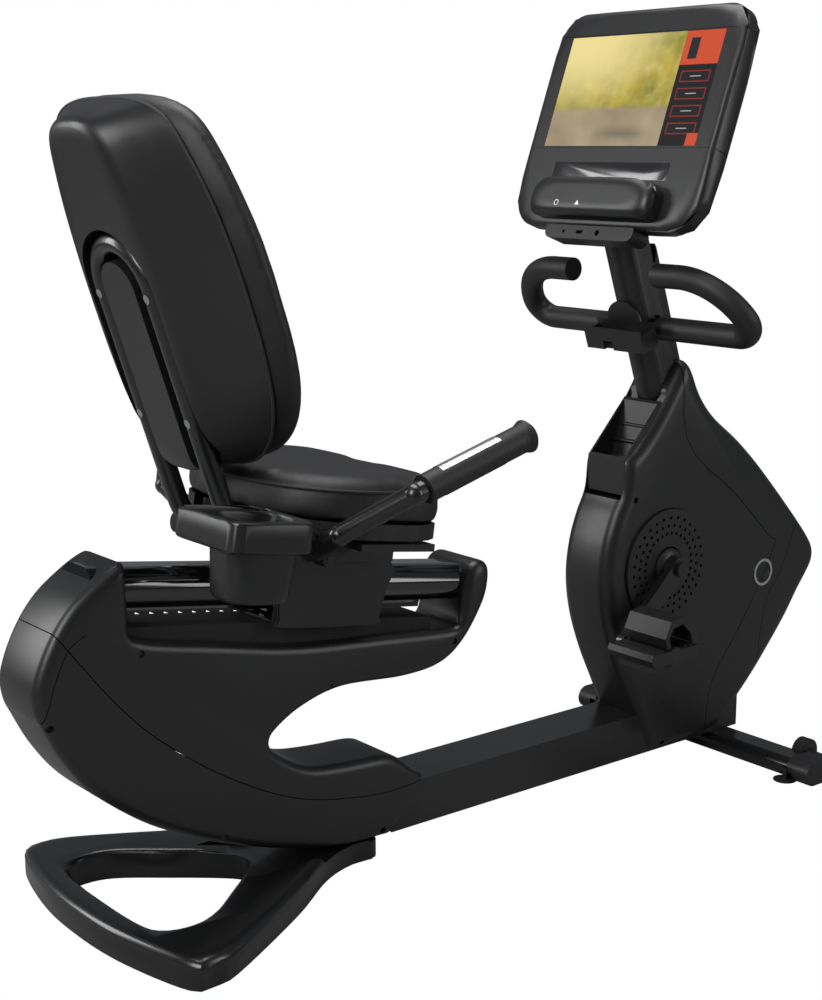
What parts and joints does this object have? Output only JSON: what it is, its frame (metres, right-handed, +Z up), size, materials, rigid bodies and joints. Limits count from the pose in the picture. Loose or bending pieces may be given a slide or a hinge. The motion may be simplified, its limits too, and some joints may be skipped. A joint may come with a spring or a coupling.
{
  "type": "recumbent exercise bike",
  "caption": "Recumbent exercise bike: seat and back sliding on a sloping rail, step-through beam, crank housing, grab handles and a screen console on a leaning mast.",
  "frame": {"origin": "floor level under the centre of the bounding box", "axes": "+X from the seat towards the console, +Y to the rider's left, +Z up"},
  "size_m": [1.67, 0.69, 1.352],
  "materials": {
    "satin_black": "satin moulded plastic, fine grain",
    "soft_black": "matt plastic",
    "gloss_rail": "glossy black finish",
    "painted_black": "satin powder coat",
    "steel": "machined",
    "plate_metal": "brushed",
    "badge_metal": "satin",
    "rubber": "matt",
    "foam": "fine grained sleeve",
    "wheel_tyre": "smooth",
    "fabric": "fine woven upholstery",
    "nylon": "natural",
    "iron": "turned",
    "screen": "display glass"
  },
  "bodies": {
    "frame": {"main_beam": "painted_black", "rear_frame": "painted_black", "mast_tube": "painted_black", "crank_bearings": "steel", "front_stabiliser": "painted_black", "stabiliser_end_caps": "soft_black", "levelling_feet": "rubber", "rear_stabiliser": "painted_black", "seat_rail": "gloss_rail", "adjust_rack": "painted_black", "shroud_upper_right": "satin_black", "shroud_upper_left": "satin_black", "shroud_lower": "satin_black", "shroud_rear_cap": "satin_black", "shroud_screws": "soft_black", "housing_right": "satin_black", "housing_left": "satin_black", "housing_front_cover": "satin_black", "bottle_pocket": "soft_black", "vent_discs": "soft_black", "side_badges": "badge_metal", "mast_front_cover": "satin_black", "mast_rear_cover": "satin_black", "handlebar_tube": "painted_black", "handlebar_sleeves": "foam", "accessory_holder": "soft_black", "console_front_shell": "satin_black", "console_rear_shell": "satin_black", "display_glass": "screen", "console_tray": "satin_black", "jack_module": "soft_black", "drive_belt": "rubber"},
    "seat_carriage": {"carriage_frame": "painted_black", "carriage_cover_right": "satin_black", "carriage_cover_left": "satin_black", "glide_pads": "nylon", "seat_pan": "soft_black", "seat_cushion": "fabric", "back_tube": "painted_black", "back_shell": "satin_black", "back_pad": "fabric", "back_bolts": "steel", "handle_tubes": "painted_black", "grip_sleeves": "foam", "pulse_plates": "plate_metal", "grip_end_caps": "foam", "bottle_bin": "satin_black"},
    "adjust_lever": {"adjust_lever": "soft_black"},
    "crank": {"crank_axle": "steel", "crank_right": "painted_black", "crank_left": "painted_black", "drive_pulley": "iron"},
    "pedal_right": {"pedal_right": "soft_black", "strap_right": "soft_black"},
    "pedal_left": {"pedal_left": "soft_black", "strap_left": "soft_black"},
    "generator": {"generator_rotor": "iron"},
    "wheel_right": {"wheel_right": "wheel_tyre"},
    "wheel_left": {"wheel_left": "wheel_tyre"}
  },
  "joints": [
    {"name": "seat_slide", "type": "slide", "parent": "frame", "child": "seat_carriage", "axis": [0.9895, 0, -0.1444], "range_m": [-0.15, 0.14]},
    {"name": "seat_lever", "type": "hinge", "parent": "seat_carriage", "child": "adjust_lever", "pos_m": [-0.39226, -0.114, 0.53201], "axis": [0, 1, 0], "range_deg": [0, 9], "stiffness_Nm_per_rad": 12, "springref_deg": -6.88},
    {"name": "crank_spin", "type": "hinge", "parent": "frame", "child": "crank", "pos_m": [0.404, 0, 0.386], "axis": [0, 1, 0], "continuous": true},
    {"name": "pedal_right_spin", "type": "hinge", "parent": "crank", "child": "pedal_right", "pos_m": [0.2757, -0.152, 0.27447], "axis": [0, 1, 0], "continuous": true},
    {"name": "pedal_left_spin", "type": "hinge", "parent": "crank", "child": "pedal_left", "pos_m": [0.5323, 0.152, 0.49753], "axis": [0, 1, 0], "continuous": true},
    {"name": "generator_spin", "type": "hinge", "parent": "frame", "child": "generator", "pos_m": [0.712, 0, 0.335], "axis": [0, 1, 0], "continuous": true},
    {"name": "wheel_right_spin", "type": "hinge", "parent": "frame", "child": "wheel_right", "pos_m": [0.623, -0.213, 0.03], "axis": [0, 1, 0], "continuous": true},
    {"name": "wheel_left_spin", "type": "hinge", "parent": "frame", "child": "wheel_left", "pos_m": [0.623, 0.213, 0.03], "axis": [0, 1, 0], "continuous": true}
  ],
  "couplings": [
    {"joint": "generator_spin", "follows": "crank_spin", "ratio": 4.6777}
  ]
}
